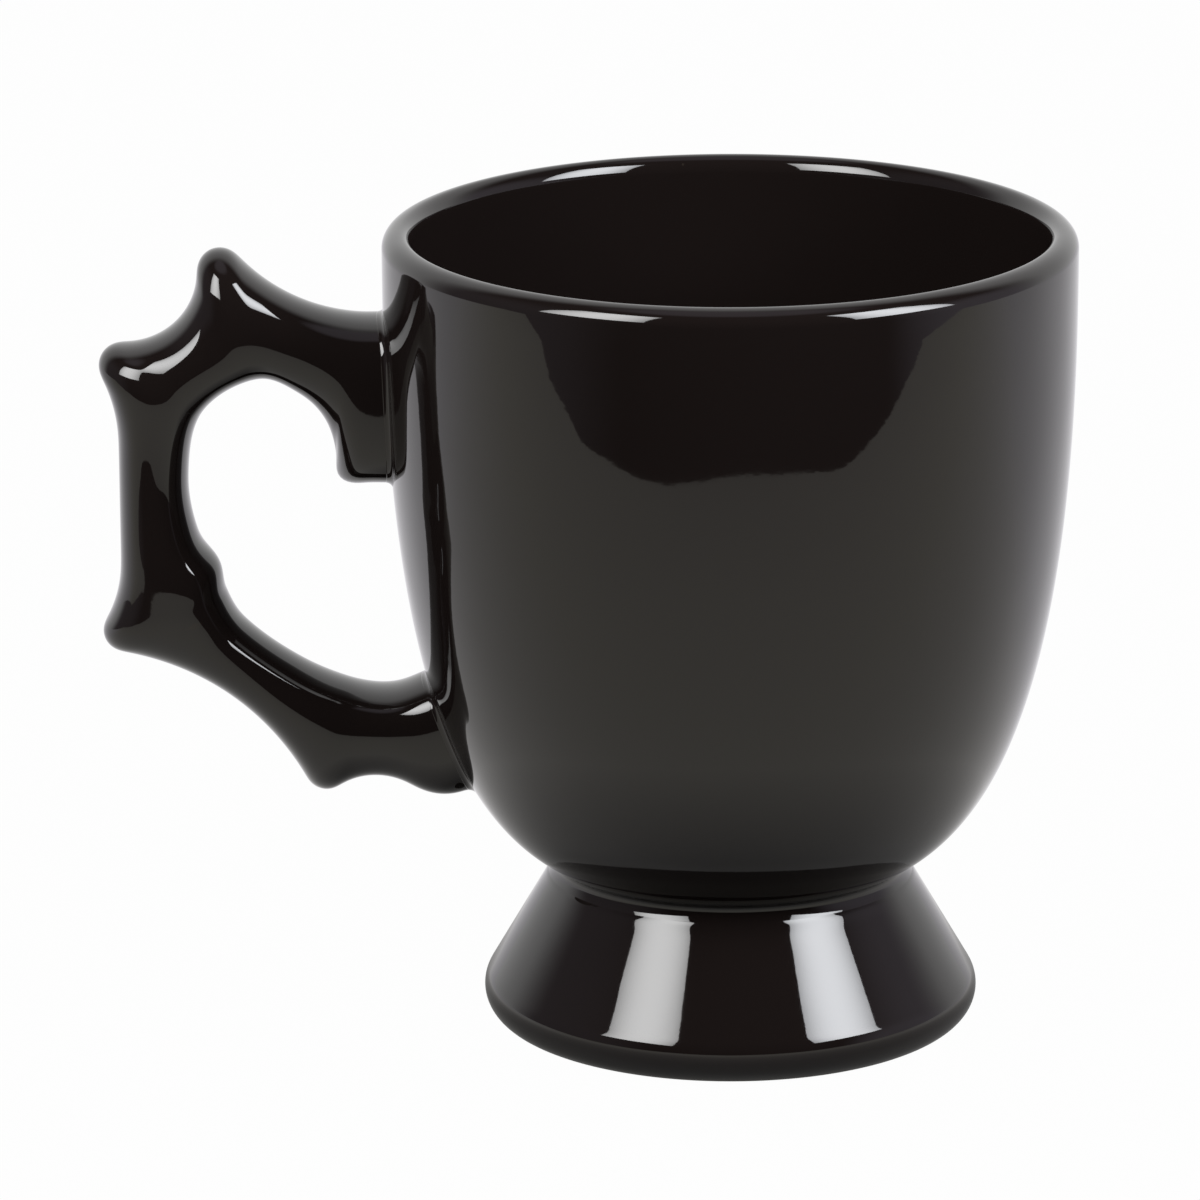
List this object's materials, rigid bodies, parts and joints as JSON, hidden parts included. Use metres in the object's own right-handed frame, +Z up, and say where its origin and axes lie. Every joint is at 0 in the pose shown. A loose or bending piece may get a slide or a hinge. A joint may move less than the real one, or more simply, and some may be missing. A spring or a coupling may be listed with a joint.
{
  "type": "footed mug",
  "caption": "Footed drinking mug with a deep rounded bowl on a flared hollow pedestal foot and a looped handle edged with rounded spikes, in glossy black glazed ceramic.",
  "frame": {"origin": "on the table plane, under the centre of the whole mug's box: the bowl's axis stands at x = +0.0200 m and the handle reaches to x = -0.0687 m", "axes": "+Z up along the bowl's axis, +X from the handle towards the bowl in the handle's plane, +Y across the handle"},
  "size_m": [0.1374, 0.0974, 0.115],
  "materials": {
    "black_glaze": "glossy black glaze with a faint warm tint, nearly mirror smooth",
    "glazed_slip": "the same black glaze, pooled in the creases and a little less even"
  },
  "bodies": {
    "root": {"bowl": "black_glaze", "pedestal_foot": "black_glaze", "handle": "black_glaze", "foot_slip_joint": "glazed_slip", "upper_handle_slip_joint": "glazed_slip", "lower_handle_slip_joint": "glazed_slip"}
  },
  "joints": []
}
